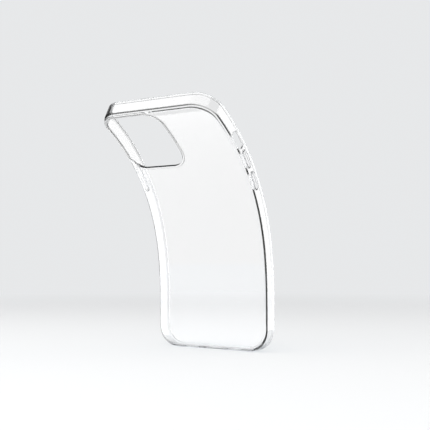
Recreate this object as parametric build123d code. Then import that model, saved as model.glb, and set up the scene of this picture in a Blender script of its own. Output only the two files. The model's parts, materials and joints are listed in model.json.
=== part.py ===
from build123d import *

import math
import os

# Slim clear soft phone case, shown half peeled off: its lower end is straight and its upper end
# curls backwards. The case is drawn flat first, cut into zones, and each zone is then carried to
# its place along the bend. Millimetres. X runs across the case, Y from the back panel towards the
# open front, Z from the bottom end to the top end. The origin is on the plane of the phone's back,
# on the centre line, level with the outside of the bottom wall.

# ---- The phone that the case is moulded for
PHONE_WIDTH = 78.1
PHONE_LENGTH = 160.8
PHONE_DEPTH = 7.4
PHONE_CORNER = 12.0

# ---- Moulding thicknesses and edges
WALL = 1.1
BACK = 1.0
LIP_RISE = 1.0
LIP_OVERHANG = 0.9
BACK_EDGE_FILLET = 2.4
SEAT_FILLET = 0.6
LIP_FILLET = 0.45
RIM_WIDTH = 2.95

CASE_WIDTH = PHONE_WIDTH + 2 * WALL
CASE_LENGTH = PHONE_LENGTH + 2 * WALL
CASE_DEPTH = BACK + PHONE_DEPTH + LIP_RISE
CASE_CORNER = PHONE_CORNER + WALL
BACK_Y = -BACK
FRONT_Y = CASE_DEPTH - BACK
MID_Y = (BACK_Y + FRONT_Y) / 2
OUTER_X = CASE_WIDTH / 2
CORE_X = OUTER_X - RIM_WIDTH

# ---- Camera window in the back panel, with its raised guard rim
CAMERA_LEFT = -37.4
CAMERA_RIGHT = 2.0
CAMERA_BOTTOM = 118.0
CAMERA_TOP = 160.3
CAMERA_CORNER = 9.5
CAMERA_RIM_WIDTH = 1.4
CAMERA_RIM_RISE = 0.6

# ---- Side controls: (bottom, top) of each, along Z
POWER_SPAN = (99.5, 117.5)
VOLUME_UP_SPAN = (110.4, 121.2)
VOLUME_DOWN_SPAN = (96.4, 107.0)
MUTE_SPAN = (123.1, 134.5)
MUTE_HEIGHT = 5.2
COVER_HEIGHT = 3.4
COVER_GAP = 0.45
COVER_RISE = 0.5
COVER_INSET = 0.15
COVER_EDGE = 0.4
POCKET_MARGIN = 0.7
POCKET_DEPTH = 0.6

# ---- Bottom wall openings: (left, right) of each, along X
PORT_SPAN = (-7.0, 7.0)
SPEAKER_SPAN = (10.5, 21.5)
MICROPHONE_SPAN = (-21.5, -10.5)
PORT_HEIGHT = 6.0
SPEAKER_HEIGHT = 3.6

# ---- The bend: no slope below BEND_START, an even curve from BEND_FULL upwards
BEND_START = 15.0
BEND_FULL = 70.0
BEND_RATE = 0.52
FLEX_LINES = (38.0, 56.0, 69.0, 82.0, 95.2, 122.5, 136.0, 149.5)
FLEX_GAP = 0.2
EXTRA_PEEL = 0.2

REACH = 40.0


def slope_at(height):
    """Backward slope of the case, in degrees, at a height along it."""
    if height <= BEND_START:
        return 0.0
    if height < BEND_FULL:
        return BEND_RATE * (height - BEND_START) ** 2 / (2 * (BEND_FULL - BEND_START))
    return BEND_RATE * (height - (BEND_START + BEND_FULL) / 2)


BAND_ENDS = (0.0,) + FLEX_LINES + (CASE_LENGTH,)
BAND_COUNT = len(BAND_ENDS) - 1
BAND_SLOPES = [0.0] + [
    slope_at((BAND_ENDS[k] + BAND_ENDS[k + 1]) / 2) for k in range(1, BAND_COUNT)
]


def band_starts():
    """(Y, Z) of the point where each band begins, on the mid-depth line of the bent case."""
    points = [(MID_Y, 0.0)]
    for k in range(BAND_COUNT - 1):
        run = BAND_ENDS[k + 1] - BAND_ENDS[k]
        slope = math.radians(BAND_SLOPES[k])
        y, z = points[-1]
        points.append((y - run * math.sin(slope), z + run * math.cos(slope)))
    return points


def plate(left, right, bottom, top, corner, y_low, y_high):
    """Upright rounded rectangle, with thickness from y_low to y_high."""
    middle = ((left + right) / 2, y_low, (bottom + top) / 2)
    face = Plane(middle, x_dir=(1, 0, 0), z_dir=(0, 1, 0))
    outline = RectangleRounded(right - left, top - bottom, corner)
    return extrude(face * outline, amount=y_high - y_low)


def side_slot(span, height, x_low, x_high):
    """Round-ended bar through a side wall, along Z."""
    length = span[1] - span[0]
    face = Plane((x_low, MID_Y, sum(span) / 2), x_dir=(0, 0, 1), z_dir=(1, 0, 0))
    return extrude(face * SlotOverall(length, height), amount=x_high - x_low)


def end_slot(span, height):
    """Round-ended bar through the bottom wall, along X."""
    length = span[1] - span[0]
    face = Plane((sum(span) / 2, MID_Y, -REACH), x_dir=(1, 0, 0), z_dir=(0, 0, 1))
    return extrude(face * SlotOverall(length, height), amount=REACH + 2 * WALL)


def outer_block():
    """The case's outside, filled in."""
    block = plate(-OUTER_X, OUTER_X, 0, CASE_LENGTH, CASE_CORNER, BACK_Y, FRONT_Y)
    block = fillet(block.faces().sort_by(Axis.Y)[0].edges(), BACK_EDGE_FILLET)
    return fillet(block.faces().sort_by(Axis.Y)[-1].edges(), LIP_FILLET)


def phone_pocket():
    """The space that the phone fills, with the window that the lip leaves over its screen."""
    half = PHONE_WIDTH / 2
    phone = plate(-half, half, WALL, CASE_LENGTH - WALL, PHONE_CORNER, 0, PHONE_DEPTH)
    phone = fillet(phone.faces().sort_by(Axis.Y)[0].edges(), SEAT_FILLET)
    inset = WALL + LIP_OVERHANG
    screen = plate(
        -half + LIP_OVERHANG,
        half - LIP_OVERHANG,
        inset,
        CASE_LENGTH - inset,
        PHONE_CORNER - LIP_OVERHANG,
        PHONE_DEPTH / 2,
        CASE_DEPTH,
    )
    return phone + screen


def camera_window(margin, y_low, y_high):
    """The camera window's outline, grown by a margin."""
    return plate(
        CAMERA_LEFT - margin,
        CAMERA_RIGHT + margin,
        CAMERA_BOTTOM - margin,
        CAMERA_TOP + margin,
        CAMERA_CORNER + margin,
        y_low,
        y_high,
    )


def grown(span):
    """A control's span with the free gap around its cover."""
    return (span[0] - COVER_GAP, span[1] + COVER_GAP)


def flat_case():
    """The whole moulding, unbent, without its button covers and camera rim."""
    case = outer_block() - phone_pocket()
    case -= camera_window(0, BACK_Y - 1, 1)
    slot_height = COVER_HEIGHT + 2 * COVER_GAP
    case -= side_slot(grown(POWER_SPAN), slot_height, -REACH - WALL, -CORE_X)
    for span in (VOLUME_UP_SPAN, VOLUME_DOWN_SPAN):
        case -= side_slot(grown(span), slot_height, CORE_X, REACH + WALL)
    case -= side_slot(MUTE_SPAN, MUTE_HEIGHT, CORE_X, REACH + WALL)
    case -= end_slot(PORT_SPAN, PORT_HEIGHT)
    case -= end_slot(SPEAKER_SPAN, SPEAKER_HEIGHT)
    case -= end_slot(MICROPHONE_SPAN, SPEAKER_HEIGHT)
    return case


def camera_rim():
    """Guard rim that stands round the camera window and follows the rounded back edge."""
    outside = camera_window(CAMERA_RIM_WIDTH, BACK_Y - CAMERA_RIM_RISE, BACK_Y + 1)
    return outside - camera_window(0, BACK_Y - 2, 2) - outer_block()


def button_cover(span, side):
    """Soft cover over a key: a raised round-ended pad, hollow on the phone's side."""
    inner = PHONE_WIDTH / 2 + COVER_INSET
    outer = OUTER_X + COVER_RISE
    pad = side_slot(span, COVER_HEIGHT, inner, outer)
    pad = fillet(pad.faces().sort_by(Axis.X)[-1].edges(), COVER_EDGE)
    hollow = (span[0] + POCKET_MARGIN, span[1] - POCKET_MARGIN)
    pad -= side_slot(hollow, COVER_HEIGHT - 2 * POCKET_MARGIN, inner - 1, inner + POCKET_DEPTH)
    return pad if side > 0 else mirror(pad, about=Plane.YZ)


def band_block(k):
    """Everything between two flex lines, its ends sloped back where the bend closes them up."""
    low, high = BAND_ENDS[k], BAND_ENDS[k + 1]
    half_gap = FLEX_GAP / 2

    def rake(lower, upper):
        turn = (BAND_SLOPES[upper] - BAND_SLOPES[lower]) * (1 + EXTRA_PEEL)
        return REACH * math.tan(math.radians(turn / 2))

    first = k == 0
    last = k == BAND_COUNT - 1
    low_mid = low - REACH if first else low + half_gap
    low_back = low_mid if first else low_mid + rake(k - 1, k)
    high_mid = high + REACH if last else high - half_gap
    high_back = high_mid if last else high_mid - rake(k, k + 1)
    outline = Polygon(
        (MID_Y - REACH, low_back),
        (MID_Y, low_mid),
        (MID_Y + REACH, low_mid),
        (MID_Y + REACH, high_mid),
        (MID_Y, high_mid),
        (MID_Y - REACH, high_back),
        align=None,
    )
    side_on = Plane((-2 * REACH, 0, 0), x_dir=(0, 1, 0), z_dir=(1, 0, 0))
    return extrude(side_on * outline, amount=4 * REACH)


def core_block():
    """The flat middle of the back panel, inside the rim that carries walls and corners."""
    return plate(
        -CORE_X,
        CORE_X,
        RIM_WIDTH,
        CASE_LENGTH - RIM_WIDTH,
        CASE_CORNER - RIM_WIDTH,
        -REACH,
        REACH,
    )


def region(x_low, x_high, z_low, z_high):
    """Square block used to part the rim into walls and corners."""
    middle = Pos((x_low + x_high) / 2, 0, (z_low + z_high) / 2)
    return middle * Box(x_high - x_low, 4 * REACH, z_high - z_low)


def rim_zones(k):
    """Names and regions of the rim's parts in one band."""
    far = 2 * REACH
    straight = OUTER_X - CASE_CORNER
    z_low, z_high = BAND_ENDS[k], BAND_ENDS[k + 1]
    if k == 0:
        return {
            "bottom_wall": region(-straight, straight, -far, z_high),
            "bottom_left_corner": region(-far, -straight, -far, CASE_CORNER),
            "bottom_right_corner": region(straight, far, -far, CASE_CORNER),
            "left_wall_lower": region(-far, -straight, CASE_CORNER, z_high),
            "right_wall_lower": region(straight, far, CASE_CORNER, z_high),
        }
    if k == BAND_COUNT - 1:
        return {
            "top_wall": region(-straight, straight, z_low, z_high + far),
            "top_left_corner": region(-far, -straight, z_low, z_high + far),
            "top_right_corner": region(straight, far, z_low, z_high + far),
        }
    return {
        f"left_wall_{k}": region(-far, -straight, z_low, z_high),
        f"right_wall_{k}": region(straight, far, z_low, z_high),
    }


def panel_name(k):
    """Name of the back panel's strip in one band."""
    if k == 0:
        return "back_panel_lower"
    if k == BAND_COUNT - 1:
        return "back_panel_top"
    return f"back_panel_{k}"


def carried(shape, k, starts):
    """A piece of band k moved from the flat drawing to its place along the bend."""
    y, z = starts[k]
    turned = Pos(0, y, z) * Rot(BAND_SLOPES[k], 0, 0) * Pos(0, -MID_Y, -BAND_ENDS[k])
    return turned * shape


def build_nodes():
    """Every sub-part of the case, by name, in its place."""
    starts = band_starts()
    case = flat_case()
    rim = camera_rim()
    core = core_block()
    panel = case & core
    edge = case - core
    nodes = {}
    for k in range(BAND_COUNT):
        block = band_block(k)
        band_edge = edge & block
        nodes[panel_name(k)] = carried(panel & block, k, starts)
        for name, zone in rim_zones(k).items():
            nodes[name] = carried(band_edge & zone, k, starts)

    # The camera rim crosses four bands.
    rim_bands = {"camera_rim_lower": 5, "camera_rim_middle": 6, "camera_rim_upper": 7, "camera_rim_top": 8}
    for name, k in rim_bands.items():
        nodes[name] = carried(rim & band_block(k), k, starts)

    # All three button covers sit in the long band between the fifth and sixth flex lines.
    covers = {
        "power_button_cover": (POWER_SPAN, -1),
        "volume_up_cover": (VOLUME_UP_SPAN, 1),
        "volume_down_cover": (VOLUME_DOWN_SPAN, 1),
    }
    for name, (span, side) in covers.items():
        nodes[name] = carried(button_cover(span, side), 5, starts)
    return nodes


os.makedirs("parts", exist_ok=True)
for node_name, shape in build_nodes().items():
    solids = shape.solids()
    node = solids[0] if len(solids) == 1 else Compound(children=list(solids))
    export_step(node, f"parts/{node_name}.step")
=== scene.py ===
# %% [markdown]
# # A clear soft phone case, half peeled off
#
# The object is one moulding of clear soft plastic: a thin back panel, four walls with a small lip
# over the screen's edge, a raised guard round the camera window, and three soft covers over keys.
# It is shown while somebody peels it: the lower end is straight, and the upper end curls backwards.
#
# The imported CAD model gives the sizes, the bodies and the joints. It is made of straight bands, so
# that it can move. Here the same moulding is made again as one smooth skin that follows the bend.

# %% Load the frame
import json
import math

import bpy
import bmesh
import numpy as np
from mathutils import Matrix, Vector
from mathutils.bvhtree import BVHTree
from mathutils.interpolate import poly_3d_calc

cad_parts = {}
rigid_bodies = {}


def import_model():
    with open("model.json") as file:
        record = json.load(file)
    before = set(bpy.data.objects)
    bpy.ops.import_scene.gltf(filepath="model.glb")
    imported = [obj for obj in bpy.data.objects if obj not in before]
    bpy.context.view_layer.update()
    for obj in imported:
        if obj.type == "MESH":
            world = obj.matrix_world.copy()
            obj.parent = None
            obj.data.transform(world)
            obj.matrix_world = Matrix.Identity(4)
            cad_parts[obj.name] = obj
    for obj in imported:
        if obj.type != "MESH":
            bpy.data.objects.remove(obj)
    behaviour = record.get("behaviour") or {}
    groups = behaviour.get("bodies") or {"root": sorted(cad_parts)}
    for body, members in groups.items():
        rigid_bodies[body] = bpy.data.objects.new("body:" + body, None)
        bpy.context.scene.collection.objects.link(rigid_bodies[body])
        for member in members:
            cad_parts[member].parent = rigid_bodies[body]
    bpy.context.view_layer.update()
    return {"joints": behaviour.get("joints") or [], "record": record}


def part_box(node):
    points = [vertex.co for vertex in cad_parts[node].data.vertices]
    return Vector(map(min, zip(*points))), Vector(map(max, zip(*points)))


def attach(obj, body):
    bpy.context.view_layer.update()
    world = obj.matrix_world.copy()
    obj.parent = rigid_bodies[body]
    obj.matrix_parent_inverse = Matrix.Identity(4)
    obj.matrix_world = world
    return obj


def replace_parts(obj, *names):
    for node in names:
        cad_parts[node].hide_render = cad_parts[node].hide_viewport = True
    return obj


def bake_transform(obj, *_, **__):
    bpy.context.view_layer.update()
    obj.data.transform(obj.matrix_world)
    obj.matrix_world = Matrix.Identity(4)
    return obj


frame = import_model()
scene = bpy.context.scene
joints = {joint["name"]: joint for joint in frame["joints"]}

# %% [markdown]
# ## Camera
#
# The camera comes first, because it decides what has to be looked at closely. It stands behind the
# case and a little to the right, low and level, with a long lens, so the uprights stay upright.
# The small shift frames the case without tilting the camera.

# %% Make the camera
CAMERA_PLACE = (0.3252, -0.4437, 0.0560)
CAMERA_TURN = 35.99
CAMERA_LENS = 76.07
CAMERA_SHIFT = 0.0955

lens = bpy.data.cameras.new("camera")
lens.lens = CAMERA_LENS
lens.shift_y = CAMERA_SHIFT
lens.clip_start = 0.01
camera = bpy.data.objects.new("camera", lens)
camera.location = CAMERA_PLACE
camera.rotation_euler = (math.radians(90), 0, math.radians(CAMERA_TURN))
scene.collection.objects.link(camera)
scene.camera = camera

# %% [markdown]
# ## Sizes of the moulding
#
# The lower end of the case is straight, so its boxes give the width and the depth directly. The
# hinges of the frame lie on the mid-depth line of the case, one at each flex line, so the steps
# from one hinge to the next add up to each flex line's distance along the unbent case.

# %% Read the driving sizes
MM = 0.001
LENGTH = 163.0
CORNER = 13.1
WALL = 1.1
LIP_RISE = 1.0
LIP_OVERHANG = 0.9
BACK_EDGE = 2.4
SEAT_EDGE = 0.6

half_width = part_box("right_wall_lower")[1].x / MM
back_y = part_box("back_panel_lower")[0].y / MM
front_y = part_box("right_wall_lower")[1].y / MM
mid_y = (back_y + front_y) / 2
flex_names = sorted(name for name in joints if name.startswith("flex_"))
hinge_points = [Vector((0, mid_y, 0))]
hinge_points += [Vector(joints[name]["pos_m"]) / MM for name in flex_names]
flex_lines = np.cumsum([(b - a).length for a, b in zip(hinge_points, hinge_points[1:])]).tolist()
print("half width, mm:", round(half_width, 2), " depth, mm:", round(front_y - back_y, 2))
print("flex lines, mm:", [round(line, 1) for line in flex_lines])

# %% [markdown]
# ## Drawing solids as stacks of outlines
#
# Every shape in this moulding is a rounded rectangle that swells and shrinks through its depth: the
# tray, the guard round the camera window, each slot and each key cover. So one function draws them
# all. It takes the rows of a profile as (margin, depth) pairs, makes the outline once for each row,
# and joins the rows with strips. Rounded edges are then arcs in the profile, with true radii.
#
# The case is drawn flat. Width is X, depth is Y and the length along the case is Z. It is bent later.

# %% Helpers: arcs in a profile, and a stack of outlines
def arc(centre, radius, start, end, steps):
    """Points on a circle in a profile, angles in degrees from the margin's own direction."""
    angles = np.radians(np.linspace(start, end, steps + 1))
    return [(centre[0] + radius * math.cos(a), centre[1] + radius * math.sin(a)) for a in angles]


def outline(half_a, half_b, corner, steps):
    """Rounded rectangle about the origin, anticlockwise."""
    points = []
    for turn, (side_a, side_b) in enumerate(((1, 1), (-1, 1), (-1, -1), (1, -1))):
        centre = (side_a * (half_a - corner), side_b * (half_b - corner))
        points += arc(centre, corner, 90 * turn, 90 * turn + 90, steps)
    return points


def stack(name, spans, corner, rows, place, steps=16):
    """Closed solid: the outline of spans, grown by each row's margin, set at each row's depth."""
    (a_low, a_high), (b_low, b_high) = spans
    mesh = bmesh.new()
    rings = []
    for margin, depth in rows:
        half_a = (a_high - a_low) / 2 + margin
        half_b = (b_high - b_low) / 2 + margin
        ring = outline(half_a, half_b, corner + margin, steps)
        middle = ((a_low + a_high) / 2, (b_low + b_high) / 2)
        rings.append([mesh.verts.new(place(a + middle[0], b + middle[1], depth)) for a, b in ring])
    for lower, upper in zip(rings, rings[1:]):
        for i in range(len(lower)):
            j = (i + 1) % len(lower)
            mesh.faces.new((lower[i], lower[j], upper[j], upper[i]))
    mesh.faces.new(rings[0][::-1])
    mesh.faces.new(rings[-1])
    bmesh.ops.remove_doubles(mesh, verts=mesh.verts, dist=1e-5)
    bmesh.ops.recalc_face_normals(mesh, faces=mesh.faces)
    data = bpy.data.meshes.new(name)
    mesh.to_mesh(data)
    mesh.free()
    solid = bpy.data.objects.new(name, data)
    scene.collection.objects.link(solid)
    return solid


def upright(across, along, depth):
    """Outlines that lie in the back panel's plane: depth runs from the back to the front."""
    return (across, depth, along)


def through_side(along, height, depth):
    """Outlines that lie in a side wall: depth runs from the middle of the case outwards."""
    return (depth, height, along)


def through_bottom(across, height, depth):
    """Outlines that lie in the bottom wall: depth runs along the case."""
    return (across, height, depth)

# %% [markdown]
# ## The tray
#
# The tray's profile starts on the outside of the back panel, runs round the wide back edge, up the
# wall, over the lip and down the inside to the seat that cups the phone's back edge. A soft moulding
# has no sharp edge anywhere, so each corner of the profile is an arc, even the small ones at the
# lip: in clear plastic it is the rounded edges that show, as thin dark and bright lines.

# %% Draw the tray
LIP_EDGE = 0.45
LIP_INNER_EDGE = 0.35
LIP_UNDER_EDGE = 0.25
OUTLINE_STEPS = 22

lip_y = front_y - LIP_RISE
lip_margin = -WALL - LIP_OVERHANG
tray_rows = arc((-BACK_EDGE, back_y + BACK_EDGE), BACK_EDGE, 270, 360, 9)
tray_rows += arc((-LIP_EDGE, front_y - LIP_EDGE), LIP_EDGE, 0, 90, 5)
tray_rows += arc((lip_margin + LIP_INNER_EDGE, front_y - LIP_INNER_EDGE), LIP_INNER_EDGE, 90, 180, 4)
tray_rows += arc((lip_margin + LIP_UNDER_EDGE, lip_y + LIP_UNDER_EDGE), LIP_UNDER_EDGE, 180, 270, 3)
tray_rows += arc((-WALL - LIP_UNDER_EDGE, lip_y - LIP_UNDER_EDGE), LIP_UNDER_EDGE, 90, 0, 3)
tray_rows += arc((-WALL - SEAT_EDGE, SEAT_EDGE), SEAT_EDGE, 360, 270, 7)

case_spans = ((-half_width, half_width), (0, LENGTH))
tray = stack("tray", case_spans, CORNER, tray_rows, upright, OUTLINE_STEPS)
whole_tray = tray.data.copy()
print("tray profile rows:", len(tray_rows), " faces:", len(tray.data.polygons))

# %% [markdown]
# ## Camera window, slots and key windows
#
# The guard is a plinth that stands off the back panel. One cutter then goes through the plinth and
# the panel, so the guard and the window share one clean bore. Each cutter flares where it meets a
# surface, which leaves a rounded rim instead of a knife edge. The same goes for the key windows,
# the mute window and the three openings in the bottom wall.

# %% Place the openings
CAMERA_SPANS = ((-37.4, 2.0), (118.0, 160.3))
CAMERA_CORNER = 9.5
GUARD_WIDTH = 1.4
GUARD_RISE = 0.6
GUARD_EDGE = 0.4
GUARD_ROOT = 0.3
POWER_SPAN = (99.5, 117.5)
VOLUME_UP_SPAN = (110.4, 121.2)
VOLUME_DOWN_SPAN = (96.4, 107.0)
MUTE_SPAN = (123.1, 134.5)
MUTE_HEIGHT = 5.2
COVER_HEIGHT = 3.4
COVER_GAP = 0.45
PORT_SPAN = (-7.0, 7.0)
SPEAKER_SPAN = (10.5, 21.5)
MICROPHONE_SPAN = (-21.5, -10.5)
PORT_HEIGHT = 6.0
SPEAKER_HEIGHT = 3.6
RIM_EDGE = 0.3
COVER_RIM_EDGE = 0.14
INNER_RIM_EDGE = 0.2
BEYOND = 1.5


def tall(height):
    """A slot's span in depth, centred on the mid-depth line."""
    return (mid_y - height / 2, mid_y + height / 2)


def widened(span):
    """A key cover's span with the free gap round it."""
    return (span[0] - COVER_GAP, span[1] + COVER_GAP)


def bore(inner, outer, inner_edge=INNER_RIM_EDGE, outer_edge=RIM_EDGE):
    """Profile of a cutter that flares at the wall's inner and outer surface. Outer may be lower."""
    way = math.copysign(1, outer - inner)
    rows = [(inner_edge, inner - way * BEYOND)]
    rows += [(m, inner + way * d) for m, d in arc((inner_edge, inner_edge), inner_edge, 270, 180, 4)]
    rows += [(m, outer + way * d) for m, d in arc((outer_edge, -outer_edge), outer_edge, 180, 90, 5)]
    return rows + [(outer_edge, outer + way * BEYOND)]


guard_top = back_y - GUARD_RISE
guard_edge_centre = (GUARD_WIDTH - GUARD_EDGE, -guard_top - GUARD_EDGE)
guard_rows = [(GUARD_WIDTH, back_y * GUARD_ROOT), (GUARD_WIDTH, guard_top + GUARD_EDGE)]
guard_rows += [(m, -y) for m, y in arc(guard_edge_centre, GUARD_EDGE, 15, 90, 5)]
plinth = stack("plinth", CAMERA_SPANS, CAMERA_CORNER, guard_rows, upright, OUTLINE_STEPS)
camera_rows = bore(0, guard_top)
camera_cutter = stack("camera_cutter", CAMERA_SPANS, CAMERA_CORNER, camera_rows, upright, OUTLINE_STEPS)

cover_window = tall(COVER_HEIGHT + 2 * COVER_GAP)
inner_x = half_width - WALL
side_slots = [
    (widened(POWER_SPAN), cover_window, -1, COVER_RIM_EDGE),
    (widened(VOLUME_UP_SPAN), cover_window, 1, COVER_RIM_EDGE),
    (widened(VOLUME_DOWN_SPAN), cover_window, 1, COVER_RIM_EDGE),
    (MUTE_SPAN, tall(MUTE_HEIGHT), 1, RIM_EDGE),
]
bottom_slots = [
    (PORT_SPAN, tall(PORT_HEIGHT)),
    (SPEAKER_SPAN, tall(SPEAKER_HEIGHT)),
    (MICROPHONE_SPAN, tall(SPEAKER_HEIGHT)),
]
cutters = [camera_cutter]
for span, height, side, rim_edge in side_slots:
    rows = bore(side * inner_x, side * half_width, INNER_RIM_EDGE, rim_edge)
    corner = (height[1] - height[0]) / 2
    cutters.append(stack("side_cutter", (span, height), corner, rows, through_side))
for span, height in bottom_slots:
    corner = (height[1] - height[0]) / 2
    cutters.append(stack("end_cutter", (span, height), corner, bore(WALL, 0), through_bottom))
print("openings:", len(cutters))

# %% [markdown]
# Booleans join the plinth and take the openings out. They work well here because every solid is
# closed and none of its faces lies in the plane of another.

# %% Join and cut
def boolean(target, tool, operation):
    """Applies one exact boolean to target and removes the tool."""
    cut = target.modifiers.new("cut", "BOOLEAN")
    cut.operation = operation
    cut.solver = "EXACT"
    cut.object = tool
    made = bpy.data.meshes.new_from_object(target.evaluated_get(bpy.context.evaluated_depsgraph_get()))
    target.modifiers.remove(cut)
    target.data = made
    bpy.data.objects.remove(tool)


boolean(tray, plinth, "UNION")
for cutter in cutters:
    boolean(tray, cutter, "DIFFERENCE")
print("tray after cutting:", len(tray.data.polygons), "faces")

# %% [markdown]
# ## Cutting the skin into narrow strips
#
# A bend is only as smooth as the strips that it bends. So the skin is cut across at even steps along its
# length, and at the lines where it is later parted into pieces.

# %% Cut across the length
STRIP = 1.25
BEND_START = 15.0

middles = [(a + b) / 2 for a, b in zip(flex_lines, flex_lines[1:] + [LENGTH])]
part_lines = [2 * flex_lines[0] - middles[0]] + middles
even = np.arange(BEND_START, LENGTH, STRIP)
even = [s for s in even if min(abs(s - line) for line in part_lines) > STRIP / 3]
stations = sorted(even + part_lines)

skin = bmesh.new()
skin.from_mesh(tray.data)
bmesh.ops.triangulate(skin, faces=[f for f in skin.faces if len(f.verts) > 4])
for station in stations:
    everything = skin.verts[:] + skin.edges[:] + skin.faces[:]
    bmesh.ops.bisect_plane(skin, geom=everything, dist=1e-5, plane_co=(0, 0, station), plane_no=(0, 0, 1))
bmesh.ops.remove_doubles(skin, verts=skin.verts, dist=2e-5)
open_edges = sum(1 for edge in skin.edges if not edge.is_manifold)
skin.to_mesh(tray.data)
skin.free()
print("parting lines, mm:", [round(line, 1) for line in part_lines])
print("strips:", len(stations), " faces:", len(tray.data.polygons), " open edges:", open_edges)

# %% [markdown]
# ## Normals
#
# Clear plastic shows the smallest error in a surface's direction, because it bends the light twice.
# So the directions are worked out on the flat drawing, where the flat faces are exactly flat, and
# turned with the bend afterwards. Weighting by area keeps a flat wall flat up to its rounded edge.
#
# Round an opening the booleans leave small faces, which would pull the directions about. So where
# the tray's own surface is left, its directions come from the tray as it was before any cutting.

# %% Directions on the flat drawing
SHARPEST_SMOOTH_EDGE = math.radians(40)
SAME_SURFACE = 0.002
SAME_FACING = 0.99


def flat_directions(thing):
    """Area-weighted direction of each face corner."""
    thing.data.polygons.foreach_set("use_smooth", [True] * len(thing.data.polygons))
    thing.data.set_sharp_from_angle(angle=SHARPEST_SMOOTH_EDGE)
    weighting = thing.modifiers.new("weighting", "WEIGHTED_NORMAL")
    weighting.mode = "FACE_AREA"
    weighting.keep_sharp = True
    shown = thing.evaluated_get(bpy.context.evaluated_depsgraph_get()).data
    found = np.zeros(len(shown.loops) * 3, np.float32)
    shown.corner_normals.foreach_get("vector", found)
    thing.modifiers.remove(weighting)
    return found.reshape(-1, 3)


def corner_places(mesh):
    """Place of each face corner."""
    places = np.zeros(len(mesh.vertices) * 3, np.float32)
    mesh.vertices.foreach_get("co", places)
    owners = np.zeros(len(mesh.loops), np.int32)
    mesh.loops.foreach_get("vertex_index", owners)
    return places.reshape(-1, 3)[owners]


def uncut_directions(thing, whole, directions):
    """Corner directions of a cut shape, taken from the uncut one wherever its surface is left."""
    uncut = bpy.data.objects.new("uncut", whole)
    scene.collection.objects.link(uncut)
    whole_directions = flat_directions(uncut)
    points = [vertex.co.copy() for vertex in whole.vertices]
    faces = [list(polygon.vertices) for polygon in whole.polygons]
    starts = [polygon.loop_start for polygon in whole.polygons]
    search = BVHTree.FromPolygons(points, faces)
    smooth_limit = math.cos(SHARPEST_SMOOTH_EDGE)
    settled = {}
    left_over = []
    for polygon in thing.data.polygons:
        _, facing, index, gap = search.find_nearest(polygon.center)
        if gap > SAME_SURFACE or facing.dot(polygon.normal) < SAME_FACING:
            left_over.append(polygon)
            continue
        around = [points[i] for i in faces[index]]
        known = whole_directions[starts[index] : starts[index] + len(around)]
        for corner, vertex in zip(polygon.loop_indices, polygon.vertices):
            shares = np.array(poly_3d_calc(around, thing.data.vertices[vertex].co))
            directions[corner] = shares @ known
            settled[vertex] = directions[corner]
    for polygon in left_over:
        for corner, vertex in zip(polygon.loop_indices, polygon.vertices):
            if vertex in settled and settled[vertex] @ directions[corner] > smooth_limit:
                directions[corner] = settled[vertex]
    bpy.data.objects.remove(uncut)
    total = len(thing.data.polygons)
    print("faces on the uncut surface:", total - len(left_over), "others:", len(left_over))
    return directions


tray_directions = uncut_directions(tray, whole_tray, flat_directions(tray))
tray_flat = corner_places(tray.data)
print("face corners:", len(tray_flat))

# %% [markdown]
# ## Node trees as expressions
#
# Both geometry trees and shaders are written as Python expressions. One small class wraps a socket:
# its operators add Math nodes, and its one method adds any other node.

# %% A socket that Python's operators work on
class Flow:
    """A socket in a node tree."""

    def __init__(self, tree, socket=None):
        self.tree = tree
        self.socket = socket

    def node(self, kind, settings=None, values=None, out=0):
        """Adds a node: its settings first, then its sockets' values or links. Gives one output."""
        made = self.tree.nodes.new(kind)
        for name, value in (settings or {}).items():
            if name == "stops":
                self.set_stops(made.color_ramp, value)
            else:
                setattr(made, name, value)
        for key, value in (values or {}).items():
            if isinstance(value, Flow):
                self.tree.links.new(value.socket, made.inputs[key])
            else:
                made.inputs[key].default_value = value
        return Flow(self.tree, made.outputs[out]) if made.outputs else None

    def set_stops(self, ramp, stops):
        """Fills a colour ramp with (position, grey) stops."""
        while len(ramp.elements) < len(stops):
            ramp.elements.new(1.0)
        for element, (position, grey) in zip(ramp.elements, stops):
            element.position = position
            element.color = (grey, grey, grey, 1.0)

    def maths(self, operation, *others):
        values = dict(enumerate((self,) + others))
        return self.node("ShaderNodeMath", {"operation": operation}, values)

    def __add__(self, other):
        return self.maths("ADD", other)

    __radd__ = __add__

    def __mul__(self, other):
        return self.maths("MULTIPLY", other)

    __rmul__ = __mul__

    def __sub__(self, other):
        return self.maths("SUBTRACT", other)

    def __truediv__(self, other):
        return self.maths("DIVIDE", other)

# %% [markdown]
# ## Clear soft plastic
#
# The moulding is clear thermoplastic polyurethane. It is close to glass in its index, but softer in
# its shine: a moulded skin is never dead flat, so its reflections swim a little. Two scales of noise
# make that: slow waves from the flow of the plastic in the mould, and a fine grain in the gloss.
#
# Lamps would not reach through such a material on their own, so rays from lamps and rays that gather soft
# light meet a plain tinted transparency instead. It leaves a pale shadow, as real clear plastic does.
# Towards grazing angles the base colour is mixed to near black: this is painted shade that draws dark
# lines along the rounded edges and the outline.

# %% Make the plastic
PLASTIC_INDEX = 1.5
FLOW_SCALE = 38.0
GRAIN_SCALE = 900.0
PATCH_SHARE = 0.7
GRAIN_SHARE = 0.3
GRAIN_HEIGHT = 0.004
BUMP_STRENGTH = 0.35
# Painted shade: the near-black colour that the base colour is mixed to at grazing angles, to paint dark
# lines along the edges.
PAINTED_EDGE_SHADE = (0.05, 0.053, 0.057)


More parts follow.
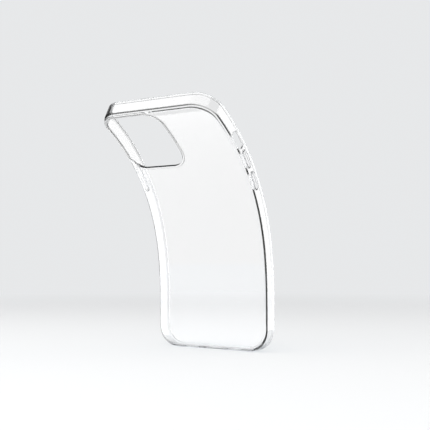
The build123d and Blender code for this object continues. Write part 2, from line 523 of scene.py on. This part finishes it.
def clear_plastic(name, tint, shadow, flow, gloss, painted_shade_from):
    """Clear soft plastic with painted shade: a near-black colour is mixed into its base colour towards
    grazing angles. flow is the depth of its slow waves, gloss its (least, most) roughness.
    """
    material = bpy.data.materials.new(name)
    material.use_nodes = True
    tree = material.node_tree
    tree.nodes.clear()
    start = Flow(tree)
    place = start.node("ShaderNodeTexCoord", out="Object")
    waves = start.node(
        "ShaderNodeTexNoise",
        {"noise_dimensions": "3D"},
        {"Vector": place, "Scale": FLOW_SCALE, "Detail": 1.0, "Roughness": 0.4},
    )
    grain = start.node(
        "ShaderNodeTexNoise",
        {"noise_dimensions": "3D"},
        {"Vector": place, "Scale": GRAIN_SCALE, "Detail": 3.0, "Roughness": 0.6},
    )
    patches = start.node(
        "ShaderNodeTexNoise",
        {"noise_dimensions": "3D"},
        {"Vector": place, "Scale": 3 * FLOW_SCALE, "Detail": 4.0, "Roughness": 0.55},
    )
    skin_height = waves + grain * GRAIN_HEIGHT
    skin_normal = start.node(
        "ShaderNodeBump", {}, {"Strength": BUMP_STRENGTH, "Distance": flow, "Height": skin_height}
    )
    wear = patches * PATCH_SHARE + grain * GRAIN_SHARE
    roughness = wear * (gloss[1] - gloss[0]) + gloss[0]
    # Painted shade: towards grazing angles the base colour is mixed to a near-black colour, which paints
    # dark lines along the rounded edges and the outline.
    grazing = start.node("ShaderNodeLayerWeight", {}, {"Blend": 0.5}, "Facing")
    edge = start.node(
        "ShaderNodeMapRange",
        {"interpolation_type": "SMOOTHSTEP"},
        {"Value": grazing, "From Min": painted_shade_from, "From Max": 0.95},
    )
    colour = start.node(
        "ShaderNodeMix",
        {"data_type": "RGBA"},
        {0: edge, 6: (*tint, 1.0), 7: (*PAINTED_EDGE_SHADE, 1.0)},
        2,
    )
    plastic = start.node(
        "ShaderNodeBsdfPrincipled",
        {},
        {
            "Base Color": colour,
            "Roughness": roughness,
            "IOR": PLASTIC_INDEX,
            "Transmission Weight": 1.0,
            "Normal": skin_normal,
        },
    )
    passing = start.node("ShaderNodeBsdfTransparent", {}, {"Color": (*shadow, 1.0)})
    soft_light = start.node("ShaderNodeLightPath", out="Is Diffuse Ray")
    lamp_light = start.node("ShaderNodeLightPath", out="Is Shadow Ray")
    gathered = start.node("ShaderNodeMixShader", {}, {0: soft_light, 1: plastic, 2: passing})
    lit = start.node("ShaderNodeMixShader", {}, {0: lamp_light, 1: gathered, 2: passing})
    start.node("ShaderNodeOutputMaterial", {}, {"Surface": lit})
    return material


shell_plastic = clear_plastic(
    "clear_soft_plastic", (0.985, 0.99, 0.995), (0.93, 0.94, 0.95), 0.00012, (0.012, 0.05), 0.45
)
cover_plastic = clear_plastic(
    "clear_cover_plastic", (0.93, 0.935, 0.945), (0.93, 0.94, 0.95), 0.00008, (0.02, 0.07), 0.25
)
print("materials:", shell_plastic.name, cover_plastic.name)

# %% [markdown]
# ## The bend
#
# The bend follows a rule: there is no slope near the bottom, the slope then grows faster and faster,
# and from a certain height on it grows evenly, like a strip that is rolled round a drum. Geometry
# Nodes fit that well. The tree adds up small steps along the slope to draw the spine of the bend,
# and carries each point of the flat drawing to the spine, at its own depth across it.

# %% Build the bending tree
BEND_FULL = 70.0
BEND_RATE = 0.52
SPINE_STEP = 0.5


def slope_at(along):
    """Backward slope, in radians, at a distance along the case in millimetres."""
    eased = min(max(along - BEND_START, 0), BEND_FULL - BEND_START)
    even_part = max(along - BEND_FULL, 0)
    return math.radians(BEND_RATE) * (eased**2 / (2 * (BEND_FULL - BEND_START)) + even_part)


def bending_tree():
    """Geometry tree that bends a flat drawing in millimetres and gives it in metres."""
    tree = bpy.data.node_groups.new("bend_along_spine", "GeometryNodeTree")
    tree.interface.new_socket("Geometry", in_out="INPUT", socket_type="NodeSocketGeometry")
    tree.interface.new_socket("Geometry", in_out="OUTPUT", socket_type="NodeSocketGeometry")
    for name in ("Bend Start", "Bend Full", "Bend Rate", "Middle Depth", "Step", "Scale"):
        tree.interface.new_socket(name, in_out="INPUT", socket_type="NodeSocketFloat")
    tree.interface.new_socket("Steps", in_out="INPUT", socket_type="NodeSocketInt")
    tree.interface.new_socket("Material", in_out="INPUT", socket_type="NodeSocketMaterial")
    start = Flow(tree)
    inputs = tree.nodes.new("NodeGroupInput")
    given = {socket.name: Flow(tree, socket) for socket in inputs.outputs if socket.name}
    bend_start, bend_full, step = given["Bend Start"], given["Bend Full"], given["Step"]

    def slope(along):
        eased = (along - bend_start).maths("MAXIMUM", 0.0).maths("MINIMUM", bend_full - bend_start)
        even_part = (along - bend_full).maths("MAXIMUM", 0.0)
        return (eased * eased / ((bend_full - bend_start) * 2.0) + even_part) * given["Bend Rate"]

    def vector(y, z):
        return start.node("ShaderNodeCombineXYZ", {}, {"Y": y, "Z": z})

    def sum_of(a, b):
        return start.node("ShaderNodeVectorMath", {"operation": "ADD"}, {0: a, 1: b})

    # The spine: one step after another along the slope.
    line = start.node("GeometryNodeMeshLine", {"mode": "OFFSET"}, {"Count": given["Steps"]}, "Mesh")
    index = start.node("GeometryNodeInputIndex")
    step_slope = slope((index + 0.5) * step)
    stride = vector(step_slope.maths("SINE") * step * -1.0, step_slope.maths("COSINE") * step)
    walked = start.node(
        "GeometryNodeAccumulateField",
        {"data_type": "FLOAT_VECTOR", "domain": "POINT"},
        {0: stride},
        "Trailing",
    )
    spine_place = sum_of(walked, vector(given["Middle Depth"], 0.0))
    placed = start.node("GeometryNodeSetPosition", {}, {"Geometry": line, "Position": spine_place})
    spine = start.node("GeometryNodeMeshToCurve", {}, {"Mesh": placed})

    # The drawing: each point goes to the spine, at its own width and depth.
    drawn = start.node("GeometryNodeInputPosition")
    parts = tree.nodes.new("ShaderNodeSeparateXYZ")
    tree.links.new(drawn.socket, parts.inputs[0])
    across, depth, along = (Flow(tree, socket) for socket in parts.outputs)
    on_spine = start.node(
        "GeometryNodeSampleCurve",
        {"mode": "LENGTH"},
        {"Curves": spine, "Length": along},
        "Position",
    )
    offset = depth - given["Middle Depth"]
    here = slope(along)
    leaning = vector(offset * here.maths("COSINE"), offset * here.maths("SINE"))
    width = start.node("ShaderNodeCombineXYZ", {}, {"X": across})
    bent = sum_of(sum_of(on_spine, leaning), width)
    metres = start.node("ShaderNodeVectorMath", {"operation": "SCALE"}, {0: bent, "Scale": given["Scale"]})
    moved = start.node("GeometryNodeSetPosition", {}, {"Geometry": given["Geometry"], "Position": metres})
    realized = start.node("GeometryNodeRealizeInstances", {}, {"Geometry": moved})
    finished = start.node(
        "GeometryNodeSetMaterial", {}, {"Geometry": realized, "Material": given["Material"]}
    )
    start.node("NodeGroupOutput", {}, {"Geometry": finished})
    return tree


bend_tree = bending_tree()
print("bending tree:", len(bend_tree.nodes), "nodes")

# %% Bend a drawing
def bent(thing, material):
    """Mesh of a flat drawing after the bend, in metres. The drawing itself is removed."""
    bending = thing.modifiers.new("bend", "NODES")
    bending.node_group = bend_tree
    wanted = {
        "Bend Start": BEND_START,
        "Bend Full": BEND_FULL,
        "Bend Rate": math.radians(BEND_RATE),
        "Middle Depth": mid_y,
        "Step": SPINE_STEP,
        "Scale": MM,
        "Steps": int(LENGTH / SPINE_STEP) + 8,
        "Material": material,
    }
    for item in bend_tree.interface.items_tree:
        if item.name in wanted:
            bending[item.identifier] = wanted[item.name]
    thing.update_tag()
    made = bpy.data.meshes.new_from_object(thing.evaluated_get(bpy.context.evaluated_depsgraph_get()))
    thing.modifiers.remove(bending)
    bpy.data.objects.remove(thing)
    return made


def turned(directions, flat_places):
    """Flat directions turned back by the slope at their place."""
    slopes = np.array([slope_at(along) for along in flat_places[:, 2]])
    cosine, sine = np.cos(slopes), np.sin(slopes)
    x, y, z = directions.T
    return np.stack([x, y * cosine - z * sine, y * sine + z * cosine], 1)


skin_mesh = bent(tray, shell_plastic)
skin_directions = turned(tray_directions, tray_flat)
print("bent skin:", len(skin_mesh.polygons), "faces, corners", len(skin_mesh.loops))

# %% [markdown]
# ## Parting the skin
#
# The skin crosses eight flex lines. It is parted half way between flex lines, so that each part spans one
# flex line. The parts stay open at their ends: inside clear plastic, a wall across the moulding would show
# as a crack.

# %% Part the skin into pieces
corner_owner = np.zeros(len(skin_mesh.loops), np.int32)
skin_mesh.loops.foreach_get("vertex_index", corner_owner)
skin_points = np.zeros(len(skin_mesh.vertices) * 3, np.float32)
skin_mesh.vertices.foreach_get("co", skin_points)
skin_points = skin_points.reshape(-1, 3)
face_start = np.zeros(len(skin_mesh.polygons), np.int32)
face_size = np.zeros(len(skin_mesh.polygons), np.int32)
skin_mesh.polygons.foreach_get("loop_start", face_start)
skin_mesh.polygons.foreach_get("loop_total", face_size)
face_along = np.add.reduceat(tray_flat[:, 2], face_start) / face_size


def piece_from(name, faces):
    """A piece made of some of the skin's faces, with their directions."""
    corners = np.concatenate([np.arange(face_start[f], face_start[f] + face_size[f]) for f in faces])
    used, fresh = np.unique(corner_owner[corners], return_inverse=True)
    ends = np.cumsum(face_size[faces])
    loops = [fresh[end - size : end].tolist() for end, size in zip(ends, face_size[faces])]
    mesh = bpy.data.meshes.new(name)
    mesh.from_pydata(skin_points[used].tolist(), [], loops)
    mesh.polygons.foreach_set("use_smooth", [True] * len(mesh.polygons))
    mesh.normals_split_custom_set(skin_directions[corners].tolist())
    mesh.materials.append(shell_plastic)
    piece = bpy.data.objects.new(name, mesh)
    scene.collection.objects.link(piece)
    return piece


limits = [-1.0] + part_lines + [LENGTH + 1.0]
bend_names = [f"shell_bend_{k + 1}" for k in range(len(flex_lines))]
names = ["shell_lower_end"] + bend_names + ["shell_top_end"]
pieces = []
for name, low, high in zip(names, limits, limits[1:]):
    faces = np.nonzero((face_along > low) & (face_along <= high))[0]
    pieces.append(piece_from(name, faces))
print("pieces:", {piece.name: len(piece.data.polygons) for piece in pieces})

# %% [markdown]
# ## Key covers
#
# Over each key the wall is moulded as a separate-looking pad that stands a little proud and is joined
# to the wall by a thin web, so that it can be pressed. The pad has a crowned face, a wide rounded
# edge and a hollow on the inside for the key. Its web stops just short of the wall, so that the pad
# is free to travel.

# %% Draw and bend the covers
COVER_RISE = 0.5
COVER_INSET = 0.15
COVER_EDGE = 0.4
POCKET_MARGIN = 0.7
POCKET_DEPTH = 0.6
WEB_REACH = 0.3
WEB_INNER = 0.35
WEB_OUTER = 0.65
CROWN = 0.05
POCKET_EDGE = 0.15

face_x = half_width + COVER_RISE
floor_x = inner_x + COVER_INSET
pocket_top = floor_x + POCKET_DEPTH
cover_rows = [(-POCKET_MARGIN - 0.2, pocket_top)]
cover_rows += arc((-POCKET_MARGIN - POCKET_EDGE, pocket_top - POCKET_EDGE), POCKET_EDGE, 90, 0, 3)
cover_rows += arc((-POCKET_MARGIN + POCKET_EDGE, floor_x + POCKET_EDGE), POCKET_EDGE, 180, 270, 3)
cover_rows += arc((-POCKET_EDGE, floor_x + POCKET_EDGE), POCKET_EDGE, 270, 360, 3)
cover_rows += [(0.0, inner_x + WEB_INNER - 0.05), (0.05, inner_x + WEB_INNER)]
cover_rows += arc((WEB_REACH - 0.1, inner_x + WEB_INNER + 0.1), 0.1, 270, 360, 2)
cover_rows += arc((WEB_REACH - 0.1, inner_x + WEB_OUTER - 0.1), 0.1, 0, 90, 2)
cover_rows += [(0.08, inner_x + WEB_OUTER), (0.0, inner_x + WEB_OUTER + 0.08)]
cover_rows += arc((-COVER_EDGE, face_x - COVER_EDGE), COVER_EDGE, 0, 84, 6)
cover_rows += [(-0.75, face_x + 0.6 * CROWN), (-1.15, face_x + CROWN)]


def key_cover(name, span, side):
    """A key cover, bent with the wall that it sits in."""
    rows = [(margin, side * depth) for margin, depth in cover_rows]
    spans = (span, tall(COVER_HEIGHT))
    flat = stack(name + "_flat", spans, COVER_HEIGHT / 2, rows, through_side, 10)
    cutting = bmesh.new()
    cutting.from_mesh(flat.data)
    bmesh.ops.triangulate(cutting, faces=[f for f in cutting.faces if len(f.verts) > 4])
    for station in np.arange(span[0] + STRIP, span[1], STRIP):
        everything = cutting.verts[:] + cutting.edges[:] + cutting.faces[:]
        bmesh.ops.bisect_plane(
            cutting, geom=everything, dist=1e-5, plane_co=(0, 0, station), plane_no=(0, 0, 1)
        )
    cutting.to_mesh(flat.data)
    cutting.free()
    directions = turned(flat_directions(flat), corner_places(flat.data))
    mesh = bent(flat, cover_plastic)
    mesh.name = name
    mesh.polygons.foreach_set("use_smooth", [True] * len(mesh.polygons))
    mesh.normals_split_custom_set(directions.tolist())
    cover = bpy.data.objects.new(name, mesh)
    scene.collection.objects.link(cover)
    return cover


covers = {
    "power_cover": (POWER_SPAN, -1, "power_button", "power_button_cover"),
    "volume_up_pad": (VOLUME_UP_SPAN, 1, "volume_up_button", "volume_up_cover"),
    "volume_down_pad": (VOLUME_DOWN_SPAN, 1, "volume_down_button", "volume_down_cover"),
}
for name, (span, side, body, node) in covers.items():
    cover = key_cover(name, span, side)
    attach(cover, body)
    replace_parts(cover, node)
    print(name, "faces:", len(cover.data.polygons))

# %% [markdown]
# ## Riding on the bodies
#
# The lower end and the top end each ride on one body. The parts between them are not attached to any body
# and do not move with the joints: they stay where the bend put them, and the CAD parts of the bodies in
# between are hidden.

# %% Attach the skin's end pieces
def spine_point(along):
    """Place on the spine at a distance along the case, in metres."""
    steps = np.arange(0.5 * SPINE_STEP, along, SPINE_STEP)
    slopes = np.array([slope_at(s) for s in steps])
    y = mid_y - SPINE_STEP * np.sin(slopes).sum()
    z = SPINE_STEP * np.cos(slopes).sum()
    return (0, y * MM, z * MM)


chain = [joints[flex_names[0]]["parent"]] + [joints[name]["child"] for name in flex_names]
groups = frame["record"]["behaviour"]["bodies"]
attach(pieces[0], chain[0])
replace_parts(pieces[0], *groups[chain[0]])
for k, (line, below, above) in enumerate(zip(flex_lines, chain, chain[1:])):
    spread = min(line - part_lines[k], part_lines[k + 1] - line)
    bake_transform(pieces[k + 1], below, above, spine_point(line - spread), spine_point(line + spread))
    if above != chain[-1]:
        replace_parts(pieces[k + 1], *groups[above])
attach(pieces[-1], chain[-1])
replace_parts(pieces[-1], *groups[chain[-1]])
print("chain:", " - ".join(chain))

# %% [markdown]
# ## Studio
#
# Clear plastic has no colour of its own: it is drawn by what it mirrors and bends. A pale backdrop
# shows straight through the flat walls, and large soft boxes lay a white sheen on the faces that
# look towards them. Round the part of the room behind the case runs a dark frame, as people set up
# round clear glass. Only the rounded edges bend light that far, so it gives them thin dark lines.

# %% Floor
FLOOR_DROP = 0.0004
FLOOR_REACH = 6.0
FLOOR_FADE = (0.2, 0.9)
FLOOR_COLOUR = (0.57, 0.575, 0.58)
BACKDROP = (0.80, 0.81, 0.82)


def floor_material():
    """Pale matt floor that fades into the backdrop's own brightness far away."""
    material = bpy.data.materials.new("studio_floor")
    material.use_nodes = True
    tree = material.node_tree
    tree.nodes.clear()
    start = Flow(tree)
    place = start.node("ShaderNodeTexCoord", out="Object")
    far = start.node("ShaderNodeVectorMath", {"operation": "LENGTH"}, {0: place}, "Value")
    fade = start.node(
        "ShaderNodeMapRange",
        {"interpolation_type": "SMOOTHSTEP"},
        {"Value": far, "From Min": FLOOR_FADE[0], "From Max": FLOOR_FADE[1]},
    )
    matt = start.node("ShaderNodeBsdfDiffuse", {}, {"Color": (*FLOOR_COLOUR, 1.0)})
    glow = start.node("ShaderNodeEmission", {}, {"Color": (*BACKDROP, 1.0), "Strength": 1.0})
    mixed = start.node("ShaderNodeMixShader", {}, {0: fade, 1: matt, 2: glow})
    start.node("ShaderNodeOutputMaterial", {}, {"Surface": mixed})
    return material


floor_mesh = bpy.data.meshes.new("studio_floor")
floor_disc = bmesh.new()
bmesh.ops.create_circle(floor_disc, cap_ends=True, segments=96, radius=FLOOR_REACH)
floor_disc.to_mesh(floor_mesh)
floor_disc.free()
floor_mesh.transform(Matrix.Translation((0, 0, -FLOOR_DROP)))
floor = bpy.data.objects.new("studio_floor", floor_mesh)
floor_mesh.materials.append(floor_material())
scene.collection.objects.link(floor)

# %% Room light
PALE = 0.80
DARK = 0.05
SCREEN_WAY = (-math.sin(math.radians(CAMERA_TURN)), math.cos(math.radians(CAMERA_TURN)), 0.0)


def room():
    """Plain pale backdrop. The plastic meets it with a dark frame round the part behind the case."""
    world = bpy.data.worlds.new("studio_room")
    world.use_nodes = True
    tree = world.node_tree
    tree.nodes.clear()
    start = Flow(tree)
    way = start.node("ShaderNodeTexCoord", out="Generated")
    facing = start.node(
        "ShaderNodeVectorMath",
        {"operation": "DOT_PRODUCT"},
        {0: way, 1: SCREEN_WAY},
        "Value",
    )
    framed = start.node(
        "ShaderNodeValToRGB",
        {
            "stops": [
                (0.0, PALE),
                (0.63, PALE),
                (0.76, DARK),
                (0.93, DARK),
                (0.965, PALE),
            ]
        },
        {"Fac": facing * 0.5 + 0.5},
        "Color",
    )
    framed_light = start.node("ShaderNodeBackground", {}, {"Color": framed, "Strength": 1.0})
    plain_light = start.node("ShaderNodeBackground", {}, {"Color": (*BACKDROP, 1.0), "Strength": 1.0})
    seen = start.node("ShaderNodeLightPath", out="Is Camera Ray")
    light = start.node("ShaderNodeMixShader", {}, {0: seen, 1: framed_light, 2: plain_light})
    start.node("ShaderNodeOutputWorld", {}, {"Surface": light})
    return world


scene.world = room()

# %% [markdown]
# Two plain pale cards lie on the floor, out of sight, for the sake of what is mirrored in them. The
# back panel mirrors one of them, which gives it its sheen, and the walls mirror the other.

# %% Cards that are only met as reflections
PANEL_CARD = ((-0.65, -0.9), (0.25, -0.9), (0.25, -0.01), (-0.65, -0.01))
PANEL_CARD_LIGHT = 3.1
WALL_CARD = ((0.05, 0.16), (1.2, 3.2), (2.6, 2.1), (0.16, 0.06))
WALL_CARD_LIGHT = 3.5


def reflected_card(name, corners, brightness):
    """A flat card on the floor that only a mirrored ray can meet."""
    material = bpy.data.materials.new(name)
    material.use_nodes = True
    tree = material.node_tree
    tree.nodes.clear()
    start = Flow(tree)
    light = {"Color": (1.0, 1.0, 1.0, 1.0), "Strength": brightness}
    glow = start.node("ShaderNodeEmission", {}, light)
    start.node("ShaderNodeOutputMaterial", {}, {"Surface": glow})
    mesh = bpy.data.meshes.new(name)
    mesh.from_pydata([(x, y, -FLOOR_DROP / 2) for x, y in corners], [], [range(len(corners))])
    mesh.materials.append(material)
    card = bpy.data.objects.new(name, mesh)
    card.visible_camera = False
    card.visible_diffuse = False
    card.visible_transmission = False
    card.visible_shadow = False
    scene.collection.objects.link(card)


reflected_card("panel_card", PANEL_CARD, PANEL_CARD_LIGHT)
reflected_card("wall_card", WALL_CARD, WALL_CARD_LIGHT)

# %% Soft boxes
def soft_box(name, place, size, watts, aim=(0, 0, 0.07)):
    """A large soft lamp that the plastic mirrors. It isn't seen directly."""
    lamp = bpy.data.lights.new(name, "AREA")
    lamp.shape = "RECTANGLE"
    lamp.size, lamp.size_y = size
    lamp.energy = watts
    box = bpy.data.objects.new(name, lamp)
    box.location = place
    box.rotation_euler = (Vector(aim) - Vector(place)).to_track_quat("-Z", "Y").to_euler()
    box.visible_camera = False
    box.visible_transmission = False
    scene.collection.objects.link(box)
    return box


soft_box("panel_box", (-0.75, -1.05, 0.42), (1.1, 0.9), 8)
soft_box("top_box", (0.05, -0.60, 1.00), (2.3, 0.8), 20)
soft_box("side_box", (0.80, 1.05, 0.45), (0.9, 0.9), 9)
scene.view_settings.view_transform = "Standard"
scene.cycles.transparent_max_bounces = 24
